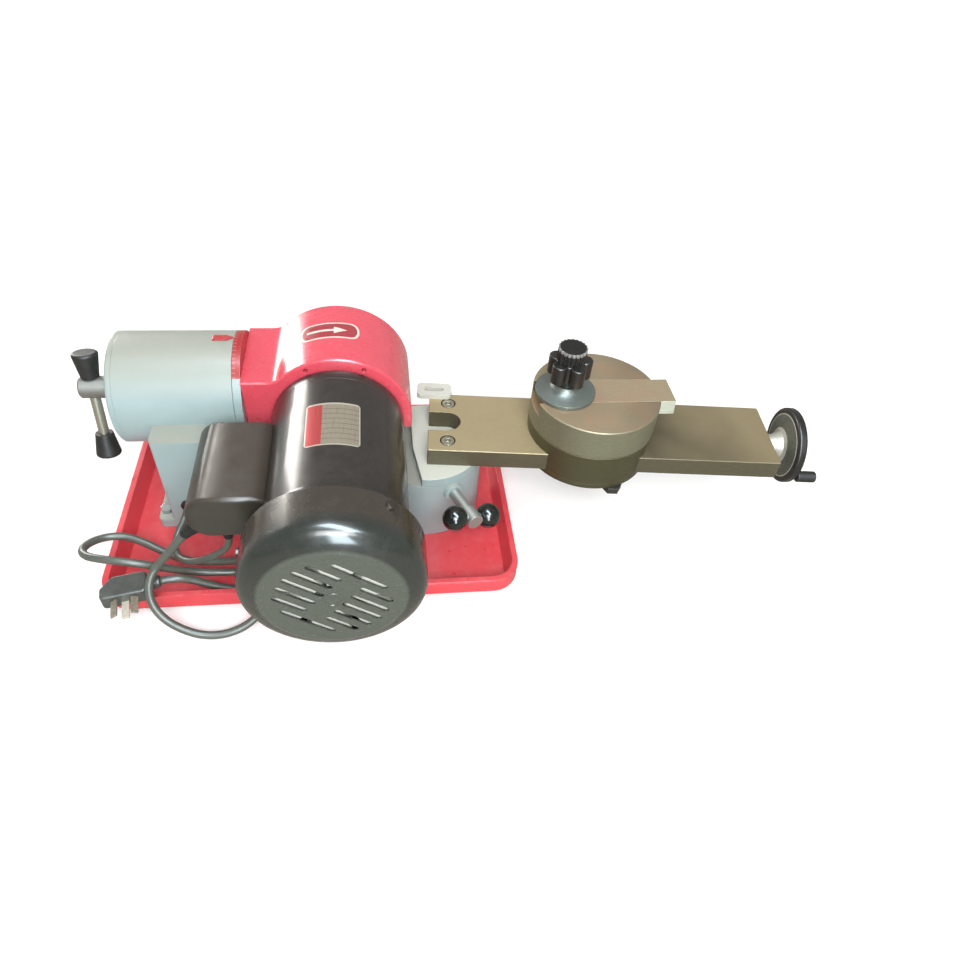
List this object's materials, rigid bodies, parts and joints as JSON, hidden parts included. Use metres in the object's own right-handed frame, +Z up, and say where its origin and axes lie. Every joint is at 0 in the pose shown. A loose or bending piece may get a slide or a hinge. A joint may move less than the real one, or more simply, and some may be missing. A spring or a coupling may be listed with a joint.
{
  "type": "circular saw blade sharpener",
  "caption": "Bench sharpener for circular saw blades: a tilting motor head with a guarded grinding wheel over a drip tray, and a swivelling rail with a screw-fed blade seat",
  "frame": {"origin": "centre of the drip tray's underside, on the bench", "axes": "+X towards the arm and handwheel, +Y towards the wheel guard's back, +Z up"},
  "size_m": [0.745, 0.3495, 0.2038],
  "materials": {
    "red_paint": "gloss crimson paint",
    "grey_paint": "light blue-grey casting paint",
    "black_paint": "gloss black motor enamel",
    "bare_steel": "machined steel with a brown storage tint",
    "bright_steel": "turned bright steel",
    "zinc": "zinc plated",
    "black_plastic": "moulded black plastic",
    "white_plastic": "plain off-white",
    "cord_rubber": "grey-olive sheath",
    "brass": "plain brass",
    "copper_iron": "laminated core",
    "abrasive": "bonded grinding wheel",
    "cast_alloy": "cast alloy"
  },
  "bodies": {
    "base": {"drip_tray": "red_paint", "head_column": "grey_paint", "floor_bolts": "zinc", "barrel_end_cap": "grey_paint", "tilt_pointer": "red_paint", "arm_pedestal": "grey_paint", "switch_bezel": "black_plastic", "lead_grommet": "black_plastic", "power_cord": "cord_rubber", "switch_lead": "cord_rubber", "plug_body": "cord_rubber", "plug_pins": "brass"},
    "feed_crank": {"feed_screw": "bright_steel", "crank_hub": "bright_steel"},
    "sliding_bar": {"cross_bar": "bright_steel", "crank_grips": "black_plastic"},
    "quill_body": {"quill": "bright_steel", "feed_nut": "brass"},
    "head": {"tilt_spigot": "bright_steel", "scale_ring": "red_paint", "wheel_guard": "red_paint", "guard_cover": "red_paint", "motor_frame": "black_paint", "motor_flange": "black_paint", "rear_shield": "cast_alloy", "motor_bearings": "bright_steel", "stator": "copper_iron", "fan_cover": "black_paint", "fan_cover_screws": "zinc", "terminal_box": "black_plastic", "capacitor": "cast_alloy", "cable_glands": "black_plastic"},
    "rotor": {"rotor_shaft": "bright_steel", "rotor_core": "copper_iron", "cooling_fan": "black_plastic", "grinding_wheel": "abrasive", "wheel_flanges": "bright_steel", "wheel_nut": "zinc"},
    "arm": {"swivel_plate": "grey_paint", "swivel_pivot": "bright_steel", "arm_rail": "bare_steel", "rail_screws": "zinc", "tooth_stop": "white_plastic"},
    "clamp": {"clamp_lever": "bright_steel", "clamp_knobs": "black_plastic"},
    "lead": {"lead_screw": "bright_steel", "handwheel_web": "cast_alloy", "handwheel_rim": "black_plastic"},
    "wheel_handle": {"handwheel_grip": "black_plastic"},
    "slide": {"slide_body": "bare_steel", "slide_keeper": "bare_steel", "lead_nut": "brass", "slide_lock_screw": "zinc"},
    "table": {"turntable": "bare_steel"},
    "bar": {"blade_bar": "bare_steel", "blade_spindle": "bright_steel"},
    "cone": {"clamp_cone": "zinc"},
    "star": {"star_knob": "black_plastic"},
    "knurl": {"knurled_knob": "black_plastic"},
    "rocker": {"switch_rocker": "black_plastic"}
  },
  "joints": [
    {"name": "feed_crank_turn", "type": "hinge", "parent": "base", "child": "feed_crank", "pos_m": [-0.2, 0.048, 0.1225], "axis": [1, 0, 0], "range_deg": [0, 1440]},
    {"name": "cross_bar_slide", "type": "slide", "parent": "feed_crank", "child": "sliding_bar", "axis": [0, 0.2419, 0.9703], "range_m": [0, 0.039]},
    {"name": "quill_feed", "type": "slide", "parent": "base", "child": "quill_body", "axis": [1, 0, 0], "range_m": [0, 0.008]},
    {"name": "head_tilt", "type": "hinge", "parent": "quill_body", "child": "head", "pos_m": [-0.09, 0.048, 0.1225], "axis": [1, 0, 0], "range_deg": [-20, 5], "deforming": ["power_cord", "switch_lead"]},
    {"name": "rotor_spin", "type": "hinge", "parent": "head", "child": "rotor", "pos_m": [0.024, 0.048, 0.114], "axis": [0, 1, 0], "continuous": true},
    {"name": "arm_swivel", "type": "hinge", "parent": "base", "child": "arm", "pos_m": [0.112, 0.002, 0.06], "axis": [0, 0, 1], "range_deg": [-10, 10]},
    {"name": "clamp_turn", "type": "hinge", "parent": "base", "child": "clamp", "pos_m": [0.13602, -0.05298, 0.062], "axis": [0.4003, -0.9164, 0], "range_deg": [-40, 40]},
    {"name": "slide_travel", "type": "slide", "parent": "arm", "child": "slide", "axis": [0.9957, -0.0924, 0], "range_m": [-0.035, 0.125]},
    {"name": "handwheel_turn", "type": "hinge", "parent": "arm", "child": "lead", "pos_m": [0.43442, -0.01901, 0.0895], "axis": [0.9957, -0.0924, 0], "range_deg": [-2520, 9000]},
    {"name": "handle_spin", "type": "hinge", "parent": "lead", "child": "wheel_handle", "pos_m": [0.49722, -0.05976, 0.07684], "axis": [0.9957, -0.0924, 0], "continuous": true},
    {"name": "turntable_swivel", "type": "hinge", "parent": "slide", "child": "table", "pos_m": [0.27968, -0.00466, 0.125], "axis": [0, 0, 1], "range_deg": [-30, 30]},
    {"name": "blade_bar_slide", "type": "slide", "parent": "table", "child": "bar", "axis": [1, 0, 0], "range_m": [-0.012, 0.02]},
    {"name": "cone_turn", "type": "hinge", "parent": "bar", "child": "cone", "pos_m": [0.24668, -0.00466, 0.17], "axis": [0, 0, 1], "continuous": true},
    {"name": "star_knob_turn", "type": "hinge", "parent": "bar", "child": "star", "pos_m": [0.24668, -0.00466, 0.17], "axis": [0, 0, 1], "continuous": true},
    {"name": "knurled_knob_turn", "type": "hinge", "parent": "bar", "child": "knurl", "pos_m": [0.24668, -0.00466, 0.17], "axis": [0, 0, 1], "continuous": true},
    {"name": "switch_rock", "type": "hinge", "parent": "base", "child": "rocker", "pos_m": [-0.11, 0.093, 0.06], "axis": [1, 0, 0], "range_deg": [0, 12]}
  ],
  "couplings": [
    {"joint": "feed_crank_turn", "follows": "quill_feed", "rad_per_m": 3141.6},
    {"joint": "handwheel_turn", "follows": "slide_travel", "rad_per_m": 1256.6}
  ]
}
